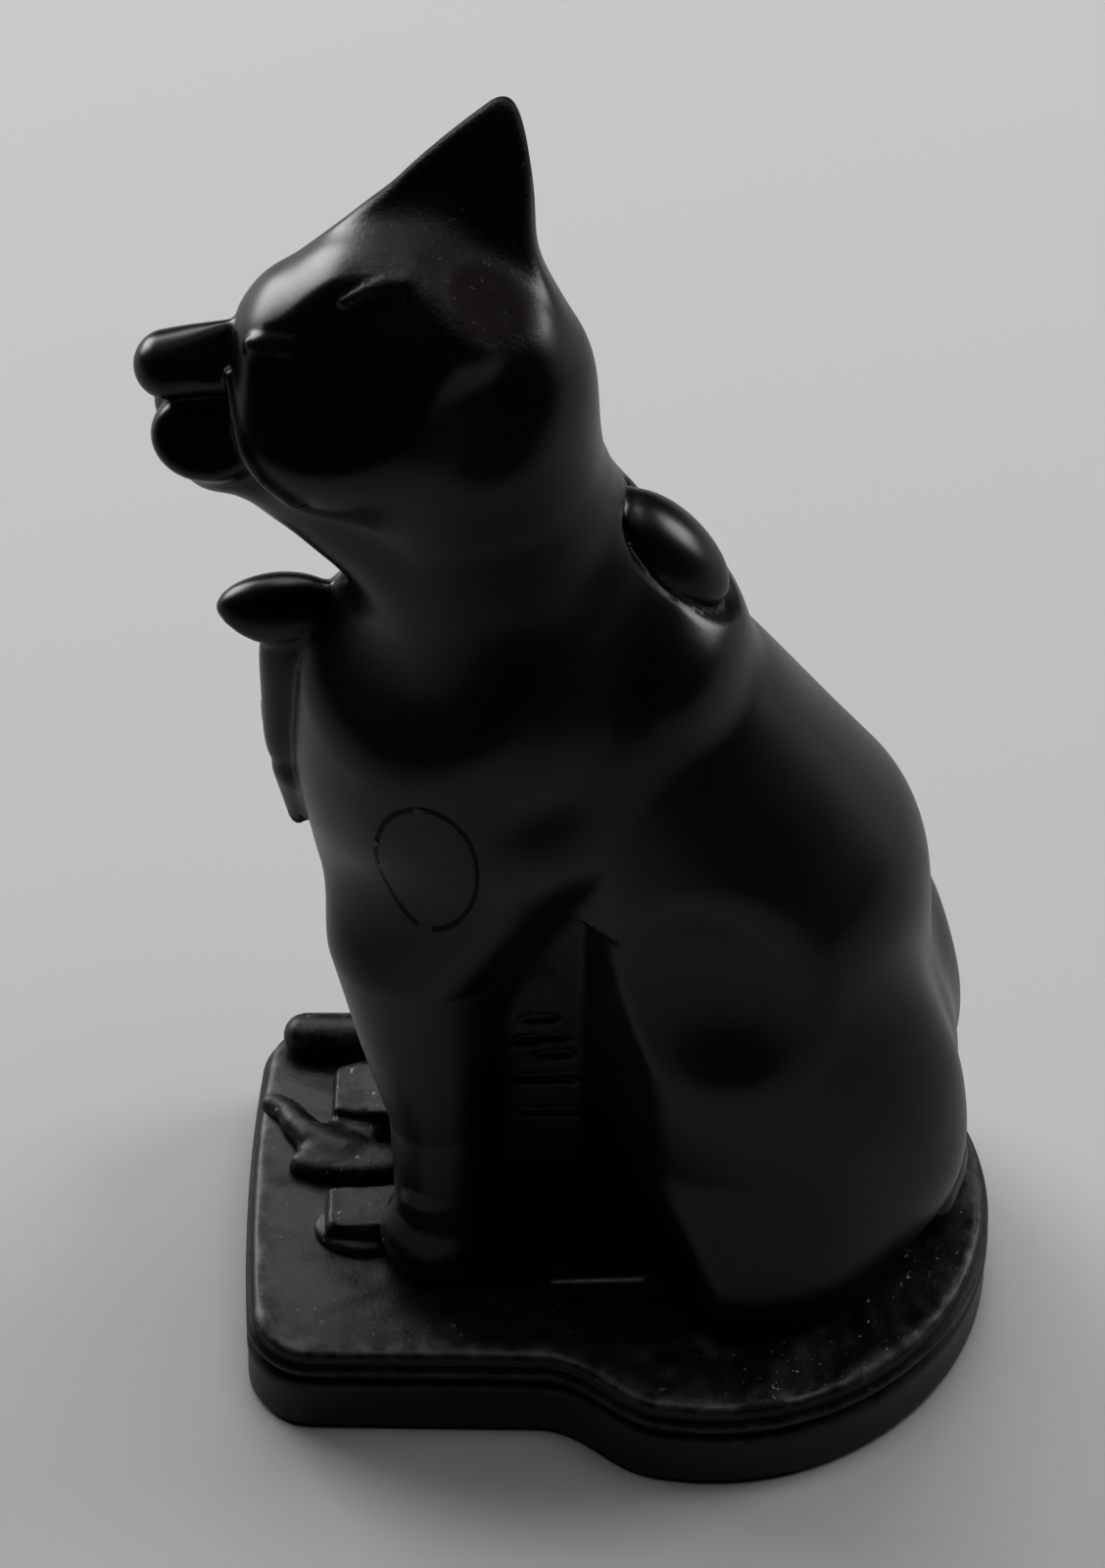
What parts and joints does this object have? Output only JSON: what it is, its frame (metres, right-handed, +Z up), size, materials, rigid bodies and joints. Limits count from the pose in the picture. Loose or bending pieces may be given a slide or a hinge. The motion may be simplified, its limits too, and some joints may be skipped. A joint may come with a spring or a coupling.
{
  "type": "cat figurine",
  "caption": "Seated Egyptian-style cat with one ear broken off, cast in black resin with its keyhole-shaped plinth.",
  "frame": {"origin": "middle of the plinth's underside, between its front edge and the back of its round end", "axes": "+Z up, the cat faces -X, its left side is towards -Y, the camera of the picture looks along +Y"},
  "size_m": [0.0827, 0.0584, 0.15],
  "materials": {
    "black_resin": "near-black cast resin filled with stone powder, satin polish, rubbed grey and brown at the edges"
  },
  "bodies": {
    "root": {"cat_figure": "black_resin"}
  },
  "joints": []
}
